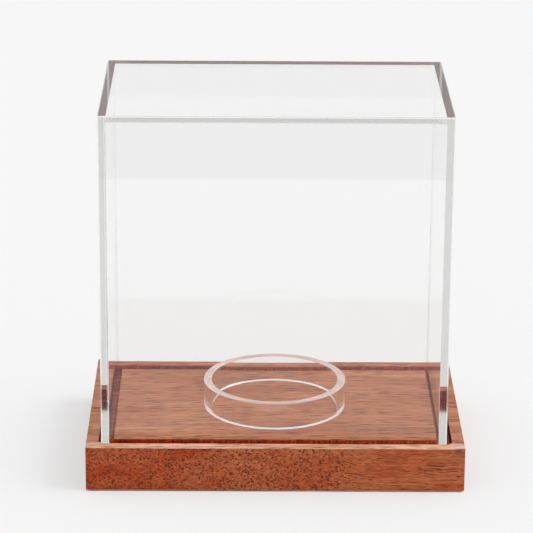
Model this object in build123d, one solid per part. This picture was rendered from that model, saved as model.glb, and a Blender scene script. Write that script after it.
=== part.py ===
from build123d import *
import os

# Hockey puck display case. A clear five-sided cover stands loose in a groove routed into a
# wooden base, and a clear ring keeps the puck in the middle of the panel inside the groove.
# Millimetres, +Z up, front towards -Y. The origin is on the table under the middle of the base.

# Wooden base
base_width = 230.5
base_depth = 152.4
block_height = 27.9
rim_width = 7.5
groove_depth = 7.5
bottom_round = 0.8
corner_round = 0.8
top_break = 0.3

# Pads under the base
pad_diameter = 12.7
pad_thickness = 0.6
pad_inset = 13.0
pad_break = 0.2

# Clear cover
wall = 4.76
cover_height = 212.8
polish_round = 0.8

# Play of the loose cover in its groove, and the gap that stays on the right where it rests
inner_play = 1.8
outer_play = 2.44
rest_gap = 1.0

# Clear ring round the puck
puck_diameter = 76.2
puck_play = 1.59
ring_wall = 4.76
ring_height = 17.0
ring_break = 0.3

# Sizes that follow from the ones above
groove_width = inner_play + wall + outer_play
opening_width = base_width - 2 * rim_width
opening_depth = base_depth - 2 * rim_width
panel_width = opening_width - 2 * groove_width
panel_depth = opening_depth - 2 * groove_width
inner_width = panel_width + 2 * inner_play
inner_depth = panel_depth + 2 * inner_play
cover_width = inner_width + 2 * wall
cover_depth = inner_depth + 2 * wall
base_top = pad_thickness + block_height
groove_floor = base_top - groove_depth
cover_top = groove_floor + cover_height
walls_height = cover_height - wall
cover_shift = rest_gap - inner_play
ring_bore = puck_diameter + 2 * puck_play
ring_outer = ring_bore + 2 * ring_wall

UP_FROM = (Align.CENTER, Align.CENTER, Align.MIN)


def base_block():
    """One board. The cutter that routes the groove is as wide as the groove, so it leaves
    the outer corners round and the corners of the raised panel sharp."""
    block = Pos(0, 0, pad_thickness) * Box(base_width, base_depth, block_height, align=UP_FROM)
    block = fillet(block.edges().filter_by(Axis.Z), corner_round)
    block = fillet(block.faces().sort_by(Axis.Z)[0].edges(), bottom_round)
    opening = RectangleRounded(opening_width, opening_depth, groove_width / 2)
    ring_cut = extrude(opening - Rectangle(panel_width, panel_depth), groove_depth)
    block -= Pos(0, 0, groove_floor) * ring_cut
    top_edges = block.edges().filter_by_position(Axis.Z, base_top - 0.01, base_top + 0.01)
    return chamfer(top_edges, top_break)


def pad():
    """A thin round pad whose lower edge is eased."""
    disc = Cylinder(pad_diameter / 2, pad_thickness, align=UP_FROM)
    return chamfer(disc.edges().sort_by(Axis.Z)[0], pad_break)


def pad_places():
    """Node name and centre of each pad, set in alike from the two sides of its corner."""
    reach_x = base_width / 2 - pad_inset
    reach_y = base_depth / 2 - pad_inset
    for row, y in (("front", -reach_y), ("back", reach_y)):
        for side, x in (("left", -reach_x), ("right", reach_x)):
            yield f"pad_{row}_{side}", (x, y, 0)


def cover_envelope():
    """The outer shape of the whole cover, with its outside edges polished round."""
    body = Pos(cover_shift, 0, groove_floor) * Box(cover_width, cover_depth, cover_height, align=UP_FROM)
    body = fillet(body.edges().filter_by(Axis.Z), polish_round)
    return fillet(body.faces().sort_by(Axis.Z)[-1].edges(), polish_round)


def cover_sheet(width, depth, height, x, y, z):
    """One flat sheet, cut to the envelope so that only its outside edges are round."""
    sheet = Pos(cover_shift + x, y, z) * Box(width, depth, height, align=UP_FROM)
    return sheet & cover_envelope()


def cover_panels():
    """Front and back run the full width, the sides stand between them, the top lies over all."""
    side_x = (cover_width - wall) / 2
    face_y = (cover_depth - wall) / 2
    yield "front_panel", cover_sheet(cover_width, wall, walls_height, 0, -face_y, groove_floor)
    yield "back_panel", cover_sheet(cover_width, wall, walls_height, 0, face_y, groove_floor)
    yield "left_panel", cover_sheet(wall, inner_depth, walls_height, -side_x, 0, groove_floor)
    yield "right_panel", cover_sheet(wall, inner_depth, walls_height, side_x, 0, groove_floor)
    yield "top_panel", cover_sheet(cover_width, cover_depth, wall, 0, 0, cover_top - wall)


def puck_ring():
    """A length sawn from clear tube, with its four rims eased, revolved from its section."""
    section = Pos((ring_bore + ring_wall) / 2, base_top + ring_height / 2) * Rectangle(ring_wall, ring_height)
    section = chamfer(section.vertices(), ring_break)
    return revolve(Plane.XZ * section, Axis.Z)


def write_node(name, shape):
    shape.label = name
    export_step(shape, f"parts/{name}.step")


os.makedirs("parts", exist_ok=True)
write_node("base_block", base_block())
write_node("puck_ring", puck_ring())
for name, shape in cover_panels():
    write_node(name, shape)
for name, place in pad_places():
    write_node(name, Pos(*place) * pad())
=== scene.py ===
"""Looks of the hockey puck display case: a wooden base with a routed groove, a clear cover
standing in the groove, and a clear ring that keeps the puck centred. Metres, +Z up, front -Y."""

import math

import bmesh
import bpy
import numpy as np
from mathutils import Matrix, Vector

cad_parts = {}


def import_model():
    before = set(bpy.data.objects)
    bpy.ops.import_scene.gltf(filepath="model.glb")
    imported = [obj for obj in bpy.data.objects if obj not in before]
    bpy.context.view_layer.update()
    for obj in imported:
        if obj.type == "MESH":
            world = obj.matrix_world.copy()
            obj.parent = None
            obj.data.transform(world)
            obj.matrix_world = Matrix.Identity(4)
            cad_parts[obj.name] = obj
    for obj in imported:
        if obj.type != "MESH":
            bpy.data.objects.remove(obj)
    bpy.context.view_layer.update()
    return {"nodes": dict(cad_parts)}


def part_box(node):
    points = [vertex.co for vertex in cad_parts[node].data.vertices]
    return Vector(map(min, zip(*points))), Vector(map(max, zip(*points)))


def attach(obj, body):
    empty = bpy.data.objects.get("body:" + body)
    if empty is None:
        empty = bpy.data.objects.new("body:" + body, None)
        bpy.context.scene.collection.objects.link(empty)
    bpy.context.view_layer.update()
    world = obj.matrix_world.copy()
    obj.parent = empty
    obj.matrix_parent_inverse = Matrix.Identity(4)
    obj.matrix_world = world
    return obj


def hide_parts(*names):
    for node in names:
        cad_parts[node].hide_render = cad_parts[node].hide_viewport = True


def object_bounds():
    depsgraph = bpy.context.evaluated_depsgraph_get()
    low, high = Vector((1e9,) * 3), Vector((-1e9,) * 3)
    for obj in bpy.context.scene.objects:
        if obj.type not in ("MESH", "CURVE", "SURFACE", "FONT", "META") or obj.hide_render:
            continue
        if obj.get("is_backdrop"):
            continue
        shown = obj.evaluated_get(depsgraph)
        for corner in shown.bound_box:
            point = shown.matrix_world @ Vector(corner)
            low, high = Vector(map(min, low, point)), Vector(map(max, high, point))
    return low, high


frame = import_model()

MM = 0.001

# Camera, as it stands to the object in the photograph
CAMERA_PLACE = (-0.01805, -1.60432, 0.66035)
CAMERA_TURN_RIGHT = math.radians(0.445)
CAMERA_TILT_UP = math.radians(-18.643)
CAMERA_ROLL = math.radians(0.394)
SENSOR_WIDTH = 36.0
FRAME_PIXELS = 533
FOCAL_PIXELS = 2723.4

# Clear sheet and tube
ACRYLIC_IOR = 1.49
POLISH_RADIUS = 0.8 * MM
CEMENT_RADIUS = 0.25 * MM
SEAT_GAP = 0.06 * MM
ARC_STEPS = 6
RING_STEPS = 288
RING_WALL = 4.76 * MM
RING_SHARP = math.radians(4)
SAWN_EDGE = 0.3 * MM
CLEAR_SHADOW = (0.96, 0.96, 0.96, 1)
ACRYLIC_TINT = (0.25, 0.265, 0.215, 1)
ACRYLIC_DENSITY = 3.0
EDGE_ROUGHNESS = 0.2
EDGE_GLOW = 0.2
FOOT_ROUGHNESS = 0.14
RIM_ROUGHNESS = 0.2
RIM_GLOW = 0.16

# Wood, as linear colours, and tints that multiply them
TOP_LIGHT = (0.58, 0.205, 0.09, 1)
TOP_DEEP = (0.44, 0.13, 0.042, 1)
SIDE_PINK = (0.40, 0.10, 0.032, 1)
SIDE_ORANGE = (0.33, 0.034, 0.0015, 1)
END_GRAIN = (0.23, 0.05, 0.014, 1)
PORE_DARK = (0.10, 0.011, 0.002, 1)
# The rim tints whiten the rim tops as a painted sheen, in part a paler tone of the wood.
RIM_SHEEN_TINT = (0.94, 1.07, 1.3)
FRONT_RIM_SHEEN_TINT = (1.47, 2.3, 3.6)
# The groove tints darken and redden the groove as painted shade, in part a scorched cut.
GROOVE_SHADE_TINT = (1.1, 0.6, 0.42)
GROOVE_END_SHADE_TINT = (0.35, 0.12, 0.06)

# Lie of the fibres, with lengths in millimetres and waves for each millimetre
MM_IN_METRE = 1000.0
FIBRE_SLANT = 0.06
FIBRE_BEND = 45.0
FIBRE_BEND_SOFT = 30.0
FIBRE_WANDER = 1.6
LEVEL_FROM = 20.0
LEVEL_TO = 80.0
WANDER_WAVES = (0.012, 0.05, 0.05)
STREAK_WAVES = (0.022, 0.42, 0.4)
BAND_WAVES = (0.010, 0.07, 0.10)
CLOUD_WAVES = (0.022, 0.05, 0.06)
MOTTLE_WAVES = (0.8, 0.8, 0.8)

# Pores, as cells for each millimetre and as shares of a cell
PORE_TURN = 45.0
PORE_TURN_SOFT = 25.0
DOT_REACH = 0.6
DASH_REACH = 0.07
END_REACH = 0.1
FRONT_DEPTH = 0.06
STIR_WAVES = (0.08, 0.08, 0.08)
STIR_AMOUNT = (3.5, 3.5, 3.5)
SIDE_CELLS = (0.8, 0.8, 0.8)
TOP_CELLS = (0.07, 0.5, 0.04)
FINE_CELLS = (1.9, 1.9, 1.9)
DASH_FROM = 25.0
DASH_TO = 60.0
DASH_TIGHTER = 1.5
DOT_SIZE = 0.66
DASH_SIZE = 0.48
TOP_PORE_SIZE = 0.5
FINE_PORE_SIZE = 0.55

# Parts of the board: millimetres for the rims and the nick, metres for the groove
SIDE_RIM_FROM = 107.0
FRONT_RIM_FROM = -66.0
FRONT_RIM_TO = -70.0
ORANGE_FROM = -10.0
ORANGE_TO = -70.0
NICK_INSET = (-4.0, 0.0, -1.2)
NICK_SIZE = (3.2, 2.0, 0.7)
RIM_INSIDE = 3.0 * MM
SUNK_FROM = 0.2 * MM
SUNK_TO = 1.0 * MM
CHATTER_WAVES = (900.0, 900.0, 60.0)
WOOD_SPECULAR = 0.25
WOOD_RELIEF = 0.08 * MM

# Rubber of the pads, as linear colours
RUBBER_DARK = (0.012, 0.012, 0.012, 1)
RUBBER_GREY = (0.03, 0.03, 0.03, 1)
RUBBER_WAVES = (1800.0, 1800.0, 1800.0)
RUBBER_RELIEF = 0.05 * MM

# Studio. Levels are linear, and the sheet darkens for mirrored rays before its front line
FLOOR_REACH = 12.0
SHEET_FRONT = -0.711
PALE = 0.93
DARK_ROOM = 0.12
BACK_ROOM = 0.88
PLAIN_SHARE = 0.5
SOFT_LIGHT = 0.76
SUN_SHARE = 0.24
SUN_HEIGHT = math.radians(42)
SUN_SIDE = math.radians(84)
SUN_SPREAD = math.radians(34)
LIGHT_BOUNCES = 64
TRANSPARENT_BOUNCES = 32


# Mesh helpers

def mesh_piece(name, points, faces):
    """Makes a mesh object from points and faces, with doubles merged and faces turned outwards."""
    mesh = bpy.data.meshes.new(name)
    mesh.from_pydata(points.reshape(-1, 3), [], faces)
    form = bmesh.new()
    form.from_mesh(mesh)
    bmesh.ops.remove_doubles(form, verts=form.verts, dist=1e-7)
    bmesh.ops.recalc_face_normals(form, faces=form.faces)
    form.to_mesh(mesh)
    form.free()
    piece = bpy.data.objects.new(name, mesh)
    bpy.context.scene.collection.objects.link(piece)
    return piece


def grid_faces(rows, columns, close_rows=False):
    """Four-sided faces of a grid whose columns run round and close. With close_rows the last
    row joins the first one as well."""
    row = np.arange(rows if close_rows else rows - 1)[:, None]
    column = np.arange(columns)[None, :]
    next_row = (row + 1) % rows
    next_column = (column + 1) % columns
    corners = np.stack(
        [
            row * columns + column,
            row * columns + next_column,
            next_row * columns + next_column,
            next_row * columns + column,
        ],
        axis=-1,
    )
    return corners.reshape(-1, 4).tolist()


def rounded_rectangles(half_x, half_y, radius, height, arc_steps):
    """One closed outline for each entry of the arrays, at its own height. A corner point is
    (side * (half - radius) + radius * cos a, side * (half - radius) + radius * sin a), where a
    goes through a quarter turn at each of the four corners."""
    quarter = np.linspace(0, math.pi / 2, arc_steps + 1)
    corner = np.arange(4)[:, None]
    angle = (quarter[None, :] + corner * math.pi / 2).ravel()
    side_x = np.repeat([1, -1, -1, 1], arc_steps + 1)
    side_y = np.repeat([1, 1, -1, -1], arc_steps + 1)
    x = side_x * (half_x - radius)[:, None] + radius[:, None] * np.cos(angle)
    y = side_y * (half_y - radius)[:, None] + radius[:, None] * np.sin(angle)
    z = np.broadcast_to(height[:, None], x.shape)
    return np.stack([x, y, z], axis=-1)


def turned(section, steps):
    """A closed section of (radius, height) points carried round the Z axis. The point at
    angle a is (radius * cos a, radius * sin a, height)."""
    angle = np.linspace(0, 2 * math.pi, steps, endpoint=False)
    radius = section[:, 0][:, None]
    x = radius * np.cos(angle)
    y = radius * np.sin(angle)
    z = np.broadcast_to(section[:, 1][:, None], x.shape)
    return np.stack([x, y, z], axis=-1)


def smooth_but_sharp(piece, sharp_angle):
    """Shades the piece smooth, and keeps every edge that turns more than the angle sharp."""
    piece.data.shade_smooth()
    piece.data.set_sharp_from_angle(angle=sharp_angle)


# Pieces

def clear_cover():
    """The five welded sheets as one hollow piece of true thickness. Its outline is carried
    down the outside, across the foot and up the inside. The outer edges are polished to a
    small radius, and the inner corners hold the thin fillet of the cement."""
    low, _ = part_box("front_panel")
    _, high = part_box("top_panel")
    top_low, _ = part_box("top_panel")
    _, back_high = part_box("back_panel")
    wall = high.z - top_low.z
    half_x = (high.x - low.x) / 2
    half_y = (back_high.y - low.y) / 2
    centre_x = (high.x + low.x) / 2
    centre_y = (back_high.y + low.y) / 2
    foot = low.z + SEAT_GAP
    under = high.z - wall
    turn = np.linspace(0, math.pi / 2, ARC_STEPS + 1)
    outer_radius = POLISH_RADIUS * np.sin(turn)
    outer_inset = POLISH_RADIUS - outer_radius
    outer_height = high.z - POLISH_RADIUS + POLISH_RADIUS * np.cos(turn)
    inner_radius = CEMENT_RADIUS * np.cos(turn)
    inner_inset = wall + CEMENT_RADIUS - inner_radius
    inner_height = under - CEMENT_RADIUS + CEMENT_RADIUS * np.sin(turn)
    inset = np.concatenate([outer_inset, [0, wall], inner_inset])
    radius = np.concatenate([outer_radius, [POLISH_RADIUS, CEMENT_RADIUS], inner_radius])
    height = np.concatenate([outer_height, [foot, foot], inner_height])
    points = rounded_rectangles(half_x - inset, half_y - inset, radius, height, ARC_STEPS)
    points = points + np.array([centre_x, centre_y, 0])
    rows, columns = points.shape[:2]
    faces = grid_faces(rows, columns)
    faces.append(list(range(columns)))
    faces.append(list(range((rows - 1) * columns, rows * columns)))
    cover = mesh_piece("clear_cover", points, faces)
    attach(cover, "cover")
    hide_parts("front_panel", "back_panel", "left_panel", "right_panel", "top_panel")
    return cover


def centring_ring():
    """A length of clear tube. Its section is a rectangle with small round corners, carried
    round the Z axis."""
    low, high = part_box("puck_ring")
    outer = (high.x - low.x) / 2
    wall = RING_WALL
    half_wall = np.full(1, wall / 2)
    half_height = np.full(1, (high.z - low.z - SEAT_GAP) / 2)
    outline = rounded_rectangles(half_wall, half_height, np.full(1, SAWN_EDGE), np.zeros(1), ARC_STEPS)[0]
    section = np.stack(
        [
            outline[:, 0] + outer - wall / 2,
            outline[:, 1] + (high.z + low.z + SEAT_GAP) / 2,
        ],
        axis=-1,
    )
    points = turned(section, RING_STEPS)
    rows, columns = points.shape[:2]
    ring = mesh_piece("centring_ring", points, grid_faces(rows, columns, close_rows=True))
    smooth_but_sharp(ring, RING_SHARP)
    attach(ring, "ring")
    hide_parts("puck_ring")
    return ring


# Material helpers

def add(tree, kind, values=None, output=0, **settings):
    """Adds a node. values gives inputs, by name or number, a plain value or another output."""
    made = tree.nodes.new(kind)
    for name, setting in settings.items():
        setattr(made, name, setting)
    for key, value in (values or {}).items():
        socket = made.inputs[key]
        if isinstance(value, bpy.types.NodeSocket):
            tree.links.new(value, socket)
        else:
            socket.default_value = value
    return made.outputs[output]


def maths(tree, operation, a, b=0.0, c=0.0, clamp=False):
    return add(tree, "ShaderNodeMath", {0: a, 1: b, 2: c}, operation=operation, use_clamp=clamp)


def vector(tree, operation, a, b=(0.0, 0.0, 0.0)):
    return add(tree, "ShaderNodeVectorMath", {0: a, 1: b}, operation=operation)


def split_xyz(tree, value):
    parts = tree.nodes.new("ShaderNodeSeparateXYZ")
    tree.links.new(value, parts.inputs[0])
    return parts.outputs[0], parts.outputs[1], parts.outputs[2]


def ramp(tree, value, start, end, low=0.0, high=1.0, smooth=True):
    """value taken from start to end turned into low to high, and held outside."""
    kind = "SMOOTHSTEP" if smooth else "LINEAR"
    values = {"Value": value, "From Min": start, "From Max": end, "To Min": low, "To Max": high}
    return add(tree, "ShaderNodeMapRange", values, interpolation_type=kind)


def mix_colour(tree, share, a, b, how="MIX"):
    return add(tree, "ShaderNodeMix", {0: share, 6: a, 7: b}, output=2, data_type="RGBA", blend_type=how)


def between(tree, share, at_none, at_full, smooth=True):
    """at_none where the share is 0, and at_full where it is 1."""
    return ramp(tree, share, 0.0, 1.0, at_none, at_full, smooth)


def noise(tree, place, detail=2.0, roughness=0.5, output="Fac"):
    """Noise with one wave for each unit of the place."""
    values = {"Vector": place, "Scale": 1.0, "Detail": detail, "Roughness": roughness}
    return add(tree, "ShaderNodeTexNoise", values, output=output)


def new_material(name):
    material = bpy.data.materials.new(name)
    material.use_nodes = True
    tree = material.node_tree
    tree.nodes.clear()
    finish = tree.nodes.new("ShaderNodeOutputMaterial")
    return material, tree, finish


def new_group(name, inputs, outputs):
    """A shader node group. inputs maps a name to (socket kind, value), outputs to a kind."""
    group = bpy.data.node_groups.new(name, "ShaderNodeTree")
    for socket_name, (kind, value) in inputs.items():
        made = group.interface.new_socket(socket_name, in_out="INPUT", socket_type=kind)
        made.default_value = value
    for socket_name, kind in outputs.items():
        group.interface.new_socket(socket_name, in_out="OUTPUT", socket_type=kind)
    return group, group.nodes.new("NodeGroupInput"), group.nodes.new("NodeGroupOutput")


def use_group(tree, group, values=None):
    made = tree.nodes.new("ShaderNodeGroup")
    made.node_tree = group
    for key, value in (values or {}).items():
        socket = made.inputs[key]
        if isinstance(value, bpy.types.NodeSocket):
            tree.links.new(value, socket)
        else:
            socket.default_value = value
    return made


def frosted_group():
    """Where clear acrylic isn't polished flat: Edge is 1 on the eased outer edges of a box, and
    Sawn is 1 below and above two heights. An outer edge is where two of the three distances
    from the middle pass the face less the width of the edge. Height counts upwards only, so
    the lower edges stay out. Sizes are in metres."""
    group, inputs, outputs = new_group(
        "frosted_edges",
        {
            "Centre": ("NodeSocketVector", (0.0, 0.0, 0.0)),
            "Half Size": ("NodeSocketVector", (1.0, 1.0, 1.0)),
            "Edge Width": ("NodeSocketFloat", 0.0),
            "Sawn Below": ("NodeSocketFloat", -1.0),
            "Sawn Above": ("NodeSocketFloat", 9.0),
        },
        {"Edge": "NodeSocketFloat", "Sawn": "NodeSocketFloat"},
    )
    place = add(group, "ShaderNodeTexCoord", output="Object")
    away = vector(group, "SUBTRACT", place, inputs.outputs["Centre"])
    away = vector(group, "MAXIMUM", away, vector(group, "MULTIPLY", away, (-1.0, -1.0, 0.0)))
    past = split_xyz(group, vector(group, "SUBTRACT", away, inputs.outputs["Half Size"]))
    limit = maths(group, "MULTIPLY", inputs.outputs["Edge Width"], -1.0)
    x, y, z = (maths(group, "GREATER_THAN", part, limit) for part in past)
    pairs = maths(group, "ADD", maths(group, "ADD", x, y), z)
    two_or_more = 1.5
    edge = maths(group, "GREATER_THAN", pairs, two_or_more)
    height = split_xyz(group, place)[2]
    below = maths(group, "LESS_THAN", height, inputs.outputs["Sawn Below"])
    above = maths(group, "GREATER_THAN", height, inputs.outputs["Sawn Above"])
    group.links.new(edge, outputs.inputs["Edge"])
    group.links.new(maths(group, "MAXIMUM", below, above), outputs.inputs["Sawn"])
    return group


def clear_material(name, frosted, sizes, edge_roughness, sawn_roughness, edge_glow, sawn_glow):
    """Clear acrylic. Lamps and soft light pass it straight, and rays from the camera bend. Its
    edges and sawn ends can be rougher and give off a little light, which brightens them for
    the picture. Real acrylic gives off none."""
    material, tree, finish = new_material(name)
    masks = use_group(tree, frosted, sizes)
    roughness = maths(tree, "MULTIPLY", masks.outputs["Edge"], edge_roughness)
    sawn = maths(tree, "MULTIPLY", masks.outputs["Sawn"], sawn_roughness)
    glass = tree.nodes.new("ShaderNodeBsdfPrincipled")
    glass.inputs["Base Color"].default_value = (1, 1, 1, 1)
    glass.inputs["IOR"].default_value = ACRYLIC_IOR
    glass.inputs["Transmission Weight"].default_value = 1.0
    tree.links.new(maths(tree, "MAXIMUM", roughness, sawn), glass.inputs["Roughness"])
    glow = maths(tree, "MULTIPLY", masks.outputs["Edge"], edge_glow)
    glow = maths(tree, "MULTIPLY_ADD", masks.outputs["Sawn"], sawn_glow, glow)
    tree.links.new(glow, glass.inputs["Emission Color"])
    glass.inputs["Emission Strength"].default_value = 1.0
    through = add(tree, "ShaderNodeBsdfTransparent", {"Color": CLEAR_SHADOW})
    path = tree.nodes.new("ShaderNodeLightPath")
    lamps = add(
        tree, "ShaderNodeMixShader",
        {0: path.outputs["Is Shadow Ray"], 1: glass.outputs[0], 2: through},
    )
    soft = add(
        tree, "ShaderNodeMixShader",
        {0: path.outputs["Is Diffuse Ray"], 1: lamps, 2: through},
    )
    tree.links.new(soft, finish.inputs["Surface"])
    inside = add(tree, "ShaderNodeVolumeAbsorption", {"Color": ACRYLIC_TINT, "Density": ACRYLIC_DENSITY})
    tree.links.new(inside, finish.inputs["Volume"])
    return material


def fibre_group():
    """Where a point lies among the fibres, in millimetres. Fibres run along X and drift back
    by a share of x as far as the bend, past which they run level with the front face. The
    second output is how squarely the fibres meet the surface, from 0 to 1."""
    group, inputs, outputs = new_group(
        "fibre_lines",
        {
            "Slant": ("NodeSocketFloat", FIBRE_SLANT),
            "Bend": ("NodeSocketFloat", FIBRE_BEND),
            "Wander": ("NodeSocketFloat", FIBRE_WANDER),
        },
        {"Fibre": "NodeSocketVector", "Across": "NodeSocketFloat"},
    )
    metres = add(group, "ShaderNodeTexCoord", output="Object")
    place = vector(group, "MULTIPLY", metres, (MM_IN_METRE, MM_IN_METRE, MM_IN_METRE))
    x = split_xyz(group, place)[0]
    held = maths(group, "SMOOTH_MIN", x, inputs.outputs["Bend"], FIBRE_BEND_SOFT)
    drift = maths(group, "MULTIPLY", held, inputs.outputs["Slant"])
    waves = noise(group, vector(group, "MULTIPLY", place, WANDER_WAVES), detail=1.0, output="Color")
    waves = vector(group, "SUBTRACT", waves, (0.5, 0.5, 0.5))
    sway = add(
        group, "ShaderNodeVectorMath",
        {0: waves, "Scale": inputs.outputs["Wander"]},
        operation="SCALE",
    )
    bent = vector(group, "SUBTRACT", place, add(group, "ShaderNodeCombineXYZ", {"Y": drift}))
    group.links.new(vector(group, "ADD", bent, sway), outputs.inputs["Fibre"])
    slope = maths(group, "MULTIPLY", ramp(group, x, LEVEL_FROM, LEVEL_TO, 1.0, 0.0), inputs.outputs["Slant"])
    along = vector(group, "NORMALIZE", add(group, "ShaderNodeCombineXYZ", {"X": 1.0, "Y": slope}))
    facing = add(group, "ShaderNodeTexCoord", output="Normal")
    meet = add(group, "ShaderNodeVectorMath", {0: along, 1: facing}, output=1, operation="DOT_PRODUCT")
    group.links.new(maths(group, "ABSOLUTE", meet), outputs.inputs["Across"])
    return group


def pore_group():
    """Open pores: each cell holds one hollow of its own size. The mask is 1 inside a hollow
    and falls to 0 at its edge. Size is a share of the cell."""
    group, inputs, outputs = new_group(
        "open_pores",
        {"Cells": ("NodeSocketVector", (0.0, 0.0, 0.0)), "Size": ("NodeSocketFloat", TOP_PORE_SIZE)},
        {"Mask": "NodeSocketFloat"},
    )
    smallest, core_share = 0.45, 0.45
    holes = group.nodes.new("ShaderNodeTexVoronoi")
    group.links.new(inputs.outputs["Cells"], holes.inputs["Vector"])
    holes.inputs["Scale"].default_value = 1.0
    chance = add(group, "ShaderNodeSeparateColor", {0: holes.outputs["Color"]})
    size = between(group, chance, smallest, 1.0, smooth=False)
    size = maths(group, "MULTIPLY", size, inputs.outputs["Size"])
    core = maths(group, "MULTIPLY", size, core_share)
    mask = ramp(group, holes.outputs["Distance"], core, size, 1.0, 0.0)
    group.links.new(mask, outputs.inputs["Mask"])
    return group


def tinted(tree, colour, levels):
    """The colour times the three levels, one for each channel."""
    shade = add(tree, "ShaderNodeCombineXYZ", {"X": levels[0], "Y": levels[1], "Z": levels[2]})
    return mix_colour(tree, 1.0, colour, shade, "MULTIPLY")


def side_grain(tree, place, end_face, dashes):
    """Where a point of an upright face lies among the pore cells. Along the front the cells
    are short in x while the fibres dive in, then long past the turn. dashes is 1 where they
    are long, and there the cells are lower as well. An end face counts its own width."""
    x, y, z = split_xyz(tree, place)
    dive = maths(tree, "SMOOTH_MIN", x, PORE_TURN, PORE_TURN_SOFT)
    reach = maths(tree, "MULTIPLY_ADD", dive, DOT_REACH, maths(tree, "MULTIPLY", x, DASH_REACH))
    reach = maths(tree, "MULTIPLY", reach, between(tree, end_face, 1.0, END_REACH))
    depth = maths(tree, "MULTIPLY", y, between(tree, end_face, FRONT_DEPTH, 1.0))
    stir = noise(tree, vector(tree, "MULTIPLY", place, STIR_WAVES), detail=1.0, output="Color")
    stir = vector(tree, "MULTIPLY", stir, STIR_AMOUNT)
    side = add(tree, "ShaderNodeCombineXYZ", {"X": reach, "Y": depth, "Z": z})
    side = vector(tree, "MULTIPLY", vector(tree, "ADD", side, stir), SIDE_CELLS)
    lower = between(tree, dashes, 1.0, DASH_TIGHTER)
    return vector(tree, "MULTIPLY", side, add(tree, "ShaderNodeCombineXYZ", {"X": 1.0, "Y": 1.0, "Z": lower}))


def wood_pores(tree, side, fibre, flat, upright, dashes):
    """Masks of the wide and of the fine pores, on the top from the fibres and on the upright
    faces from the side grain."""
    top = vector(tree, "MULTIPLY", fibre, TOP_CELLS)
    cells = add(tree, "ShaderNodeMix", {0: flat, 4: side, 5: top}, output=1, data_type="VECTOR")
    fine_cells = vector(tree, "MULTIPLY", cells, FINE_CELLS)
    side_size = between(tree, dashes, DOT_SIZE, DASH_SIZE)
    size = add(tree, "ShaderNodeMix", {0: upright, 2: TOP_PORE_SIZE, 3: side_size}, data_type="FLOAT")
    pores = pore_group()
    wide = use_group(tree, pores, {"Cells": cells, "Size": size}).outputs[0]
    fine = use_group(tree, pores, {"Cells": fine_cells, "Size": FINE_PORE_SIZE}).outputs[0]
    return wide, fine


def solid_wood(tree, place, fibre, across, side, upright, streak):
    """Colour of the wood between its pores: light and deep bands on the top, pink turning to
    orange towards the left on the upright faces, darker where the fibres end."""
    x = split_xyz(tree, place)[0]
    mottle = noise(tree, vector(tree, "MULTIPLY", side, MOTTLE_WAVES), detail=3.0, roughness=0.6)
    band = noise(tree, vector(tree, "MULTIPLY", fibre, BAND_WAVES))
    cloud = noise(tree, vector(tree, "MULTIPLY", place, CLOUD_WAVES), detail=3.0, roughness=0.55)
    top_colour = mix_colour(tree, ramp(tree, band, 0.3, 0.7), TOP_LIGHT, TOP_DEEP)
    left = ramp(tree, x, ORANGE_FROM, ORANGE_TO)
    left_share = 0.75
    patches = ramp(tree, cloud, 0.35, 0.65, -0.25, 0.45)
    orange = maths(tree, "MULTIPLY_ADD", left, left_share, patches, clamp=True)
    side_colour = mix_colour(tree, orange, SIDE_PINK, SIDE_ORANGE)
    colour = mix_colour(tree, upright, top_colour, side_colour)
    colour = mix_colour(tree, ramp(tree, across, 0.6, 1.0), colour, END_GRAIN)
    top_light = ramp(tree, streak, 0.34, 0.66, 0.66, 1.36)
    side_light = ramp(tree, mottle, 0.3, 0.7, 0.82, 1.62)
    light = add(tree, "ShaderNodeMix", {0: upright, 2: top_light, 3: side_light}, data_type="FLOAT")
    red = ramp(tree, light, 0.0, 2.0, 0.3, 1.7, smooth=False)
    return tinted(tree, colour, (red, light, light))


def rims_with_painted_sheen(tree, colour, place, flat):
    """The top of the rim, paler and whiter than the panel, and palest along the front: a painted sheen, in
    part a paler tone of the wood.
    """
    x, y, _ = split_xyz(tree, place)
    front_sheen = maths(tree, "MULTIPLY", flat, ramp(tree, y, FRONT_RIM_FROM, FRONT_RIM_TO))
    side_sheen = maths(tree, "GREATER_THAN", maths(tree, "ABSOLUTE", x), SIDE_RIM_FROM)
    side_sheen = maths(tree, "MULTIPLY", flat, side_sheen)
    colour = mix_colour(tree, side_sheen, colour, tinted(tree, colour, RIM_SHEEN_TINT))
    return mix_colour(tree, front_sheen, colour, tinted(tree, colour, FRONT_RIM_SHEEN_TINT))


def nicked(tree, colour, place, low, high):
    """A small dark nick at the front right upper corner, as an oval that fades outwards."""
    corner = (high.x * MM_IN_METRE, low.y * MM_IN_METRE, high.z * MM_IN_METRE)
    centre = tuple(part + inset for part, inset in zip(corner, NICK_INSET))
    away = vector(tree, "DIVIDE", vector(tree, "SUBTRACT", place, centre), NICK_SIZE)
    distance = add(tree, "ShaderNodeVectorMath", {0: away}, output=1, operation="LENGTH")
    return mix_colour(tree, ramp(tree, distance, 0.5, 1.1, 0.75, 0.0), colour, PORE_DARK)


def inside_groove(tree, metres, high):
    """1 on the walls and floor of the groove, and 0 on the top and the outside."""
    x, y, z = split_xyz(tree, metres)
    inside_x = maths(tree, "LESS_THAN", maths(tree, "ABSOLUTE", x), high.x - RIM_INSIDE)
    inside_y = maths(tree, "LESS_THAN", maths(tree, "ABSOLUTE", y), high.y - RIM_INSIDE)
    sunk = ramp(tree, z, high.z - SUNK_FROM, high.z - SUNK_TO)
    return maths(tree, "MULTIPLY", sunk, maths(tree, "MULTIPLY", inside_x, inside_y))


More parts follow.
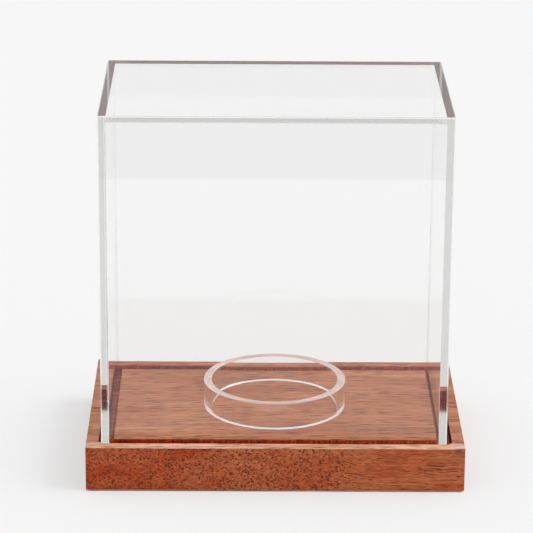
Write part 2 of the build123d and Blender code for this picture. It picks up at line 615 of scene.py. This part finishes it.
def wood_material():
    """Oiled reddish-brown wood, one board. On the top the fibres lie as long fine streaks. On
    the front they dive in at the left, so their pores show as dots, and run level at the
    right, where they show as dashes. The tops of the rims are whitened by a painted sheen.
    The groove is darkened and reddened as painted shade, in part a scorched cut, and is rougher."""
    material, tree, finish = new_material("oiled_reddish_wood")
    low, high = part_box("base_block")
    lines = use_group(tree, fibre_group())
    fibre, across = lines.outputs["Fibre"], lines.outputs["Across"]
    metres = add(tree, "ShaderNodeTexCoord", output="Object")
    place = vector(tree, "MULTIPLY", metres, (MM_IN_METRE, MM_IN_METRE, MM_IN_METRE))
    facing_x, _, facing_z = split_xyz(tree, add(tree, "ShaderNodeTexCoord", output="Normal"))
    flat = maths(tree, "GREATER_THAN", maths(tree, "ABSOLUTE", facing_z), 0.5)
    upright = maths(tree, "SUBTRACT", 1.0, flat)
    end_face = maths(tree, "GREATER_THAN", maths(tree, "ABSOLUTE", facing_x), 0.6)
    level = ramp(tree, split_xyz(tree, place)[0], DASH_FROM, DASH_TO)
    dashes = maths(tree, "MULTIPLY", level, maths(tree, "SUBTRACT", 1.0, end_face))
    side = side_grain(tree, place, end_face, dashes)
    wide, fine = wood_pores(tree, side, fibre, flat, upright, dashes)
    streak = noise(tree, vector(tree, "MULTIPLY", fibre, STREAK_WAVES), detail=5.0, roughness=0.8)
    colour = solid_wood(tree, place, fibre, across, side, upright, streak)
    # Painted sheen on the rim tops.
    colour = rims_with_painted_sheen(tree, colour, place, flat)
    wide_dark = maths(tree, "MULTIPLY", wide, between(tree, upright, 0.6, 0.88))
    fine_dark = maths(tree, "MULTIPLY", fine, between(tree, upright, 0.35, 0.7))
    colour = mix_colour(tree, wide_dark, colour, PORE_DARK)
    colour = mix_colour(tree, fine_dark, colour, PORE_DARK)
    colour = nicked(tree, colour, place, low, high)
    # Painted shade in the groove: walls and floor darkened and reddened, most on the cut end grain, with
    # milling marks.
    sunk = inside_groove(tree, metres, high)
    chatter = noise(tree, vector(tree, "MULTIPLY", metres, CHATTER_WAVES), roughness=0.6)
    marks = ramp(tree, chatter, 0.35, 0.7, 0.7, 1.6)
    levels = [
        maths(tree, "MULTIPLY", marks, between(tree, end_face, along, at_end))
        for along, at_end in zip(GROOVE_SHADE_TINT, GROOVE_END_SHADE_TINT)
    ]
    colour = mix_colour(tree, sunk, colour, tinted(tree, colour, levels))
    roughness = ramp(tree, streak, 0.3, 0.7, 0.42, 0.54)
    roughness = maths(tree, "MULTIPLY_ADD", wide, 0.25, roughness)
    roughness = maths(tree, "MULTIPLY_ADD", sunk, 0.3, roughness, clamp=True)
    height = maths(tree, "MULTIPLY_ADD", wide, -1.0, maths(tree, "MULTIPLY", streak, 0.5))
    height = maths(tree, "MULTIPLY_ADD", fine, -0.5, height)
    height = maths(tree, "MULTIPLY_ADD", maths(tree, "MULTIPLY", sunk, chatter), 3.0, height)
    relief = add(tree, "ShaderNodeBump", {"Strength": 0.6, "Distance": WOOD_RELIEF, "Height": height})
    wood = tree.nodes.new("ShaderNodeBsdfPrincipled")
    wood.inputs["Specular IOR Level"].default_value = WOOD_SPECULAR
    tree.links.new(colour, wood.inputs["Base Color"])
    tree.links.new(roughness, wood.inputs["Roughness"])
    tree.links.new(relief, wood.inputs["Normal"])
    tree.links.new(wood.outputs[0], finish.inputs["Surface"])
    return material


def pad_material():
    """Dark, dull rubber with a fine grain."""
    material, tree, finish = new_material("pad_rubber")
    metres = add(tree, "ShaderNodeTexCoord", output="Object")
    grain = noise(tree, vector(tree, "MULTIPLY", metres, RUBBER_WAVES), detail=3.0, roughness=0.6)
    rubber = tree.nodes.new("ShaderNodeBsdfPrincipled")
    tree.links.new(mix_colour(tree, grain, RUBBER_DARK, RUBBER_GREY), rubber.inputs["Base Color"])
    tree.links.new(ramp(tree, grain, 0.3, 0.7, 0.62, 0.8), rubber.inputs["Roughness"])
    relief = add(tree, "ShaderNodeBump", {"Strength": 0.4, "Distance": RUBBER_RELIEF, "Height": grain})
    tree.links.new(relief, rubber.inputs["Normal"])
    tree.links.new(rubber.outputs[0], finish.inputs["Surface"])
    return material


def give(piece, material):
    piece.data.materials.clear()
    piece.data.materials.append(material)


# Studio

def floor():
    """A pale sheet under the object, level with the underside of its pads. Away from the
    footprint of the base it is partly plain, so that it stays even. Mirrored rays see it dark
    in front of the sheet's front line."""
    corners = np.array([[-1, -1, 0], [1, -1, 0], [1, 1, 0], [-1, 1, 0]]) * FLOOR_REACH
    sheet = mesh_piece("floor_sheet", corners, [[0, 1, 2, 3]])
    material, tree, finish = new_material("floor_paper")
    x, y, _ = split_xyz(tree, add(tree, "ShaderNodeTexCoord", output="Object"))
    path = tree.nodes.new("ShaderNodeLightPath")
    beyond = maths(tree, "LESS_THAN", y, SHEET_FRONT)
    mirrored = maths(tree, "GREATER_THAN", path.outputs["Glossy Depth"], 0.5)
    dark = maths(tree, "MULTIPLY", beyond, mirrored)
    dark = maths(tree, "SUBTRACT", dark, path.outputs["Is Diffuse Ray"], clamp=True)
    colour = mix_colour(tree, dark, (PALE, PALE, PALE, 1), (DARK_ROOM, DARK_ROOM, DARK_ROOM, 1))
    paper = add(tree, "ShaderNodeBsdfDiffuse", {"Color": colour})
    plain = add(tree, "ShaderNodeEmission", {"Color": colour, "Strength": 1.0})
    seen = maths(tree, "SUBTRACT", 1.0, path.outputs["Is Diffuse Ray"])
    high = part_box("base_block")[1]
    under_x = maths(tree, "LESS_THAN", maths(tree, "ABSOLUTE", x), high.x)
    under_y = maths(tree, "LESS_THAN", maths(tree, "ABSOLUTE", y), high.y)
    open_floor = maths(tree, "SUBTRACT", 1.0, maths(tree, "MULTIPLY", under_x, under_y))
    share = maths(tree, "MULTIPLY", seen, maths(tree, "MULTIPLY", open_floor, PLAIN_SHARE))
    mixed = add(tree, "ShaderNodeMixShader", {0: share, 1: paper, 2: plain})
    tree.links.new(mixed, finish.inputs["Surface"])
    give(sheet, material)
    sheet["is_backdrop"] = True


def world():
    """A soft pale room. The camera sees it as pale as the floor, and mirrored rays see it
    darken from the back to the front."""
    made = bpy.data.worlds.new("pale_room")
    bpy.context.scene.world = made
    made.use_nodes = True
    tree = made.node_tree
    tree.nodes.clear()
    finish = tree.nodes.new("ShaderNodeOutputWorld")
    path = tree.nodes.new("ShaderNodeLightPath")
    mirrored = maths(tree, "GREATER_THAN", path.outputs["Glossy Depth"], 0.5)
    through = maths(tree, "MAXIMUM", path.outputs["Is Glossy Ray"], path.outputs["Is Transmission Ray"])
    mirrored = maths(tree, "MULTIPLY", mirrored, through)
    direct = maths(tree, "MAXIMUM", path.outputs["Is Camera Ray"], through)
    level = between(tree, direct, SOFT_LIGHT, PALE)
    towards_back = split_xyz(tree, add(tree, "ShaderNodeTexCoord", output="Generated"))[1]
    room = ramp(tree, towards_back, -0.25, 0.15, DARK_ROOM, BACK_ROOM)
    shown = add(tree, "ShaderNodeMix", {0: mirrored, 2: level, 3: room}, data_type="FLOAT")
    light = add(tree, "ShaderNodeBackground", {"Color": (1, 1, 1, 1), "Strength": shown})
    tree.links.new(light, finish.inputs["Surface"])


def soft_sun():
    """A broad lamp from the right and a little from the front."""
    lamp = bpy.data.lights.new("broad_lamp", "SUN")
    lamp.energy = SUN_SHARE * math.pi / math.sin(SUN_HEIGHT)
    lamp.angle = SUN_SPREAD
    holder = bpy.data.objects.new("broad_lamp", lamp)
    bpy.context.scene.collection.objects.link(holder)
    holder.rotation_euler = (math.pi / 2 - SUN_HEIGHT, 0, SUN_SIDE)


def camera():
    """Looks along +Y, turned right by the first angle, tilted by the second and rolled by the
    third."""
    lens = bpy.data.cameras.new("camera")
    lens.sensor_width = SENSOR_WIDTH
    lens.lens = FOCAL_PIXELS / FRAME_PIXELS * SENSOR_WIDTH
    lens.clip_start = 0.05
    lens.clip_end = 60
    holder = bpy.data.objects.new("camera", lens)
    bpy.context.scene.collection.objects.link(holder)
    yaw, tilt, roll = CAMERA_TURN_RIGHT, CAMERA_TILT_UP, CAMERA_ROLL
    ahead = np.array([
        math.sin(yaw) * math.cos(tilt),
        math.cos(yaw) * math.cos(tilt),
        math.sin(tilt),
    ])
    right = np.array([math.cos(yaw), -math.sin(yaw), 0])
    up = np.cross(right, ahead)
    rolled_right = math.cos(roll) * right + math.sin(roll) * up
    rolled_up = -math.sin(roll) * right + math.cos(roll) * up
    turn = np.eye(4)
    turn[:3, 0] = rolled_right
    turn[:3, 1] = rolled_up
    turn[:3, 2] = -ahead
    turn[:3, 3] = CAMERA_PLACE
    holder.matrix_world = Matrix(turn.tolist())
    bpy.context.scene.camera = holder


def main():
    cover = clear_cover()
    ring = centring_ring()
    frosted = frosted_group()
    low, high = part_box("front_panel")
    _, cover_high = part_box("back_panel")
    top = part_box("top_panel")[1].z
    clear_sheet = clear_material("clear_sheet", frosted, {
        "Centre": ((low.x + high.x) / 2, (low.y + cover_high.y) / 2, (low.z + top) / 2),
        "Half Size": ((high.x - low.x) / 2, (cover_high.y - low.y) / 2, (top - low.z) / 2),
        "Edge Width": POLISH_RADIUS,
        "Sawn Below": low.z + 2 * SEAT_GAP,
    }, EDGE_ROUGHNESS, FOOT_ROUGHNESS, EDGE_GLOW, 0.0)
    ring_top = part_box("puck_ring")[1].z
    clear_tube = clear_material("clear_tube", frosted, {
        "Sawn Above": ring_top - SAWN_EDGE,
    }, 0.0, RIM_ROUGHNESS, 0.0, RIM_GLOW)
    give(cover, clear_sheet)
    give(ring, clear_tube)
    wood = wood_material()
    rubber = pad_material()
    for name, node in frame["nodes"].items():
        if name.startswith("pad_"):
            give(node, rubber)
        elif name == "base_block":
            give(node, wood)
        else:
            give(node, clear_sheet)
    floor()
    world()
    soft_sun()
    camera()
    scene = bpy.context.scene
    scene.view_settings.view_transform = "Standard"
    scene.cycles.max_bounces = LIGHT_BOUNCES
    scene.cycles.glossy_bounces = LIGHT_BOUNCES
    scene.cycles.transmission_bounces = LIGHT_BOUNCES
    scene.cycles.transparent_max_bounces = TRANSPARENT_BOUNCES
    low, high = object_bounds()


main()
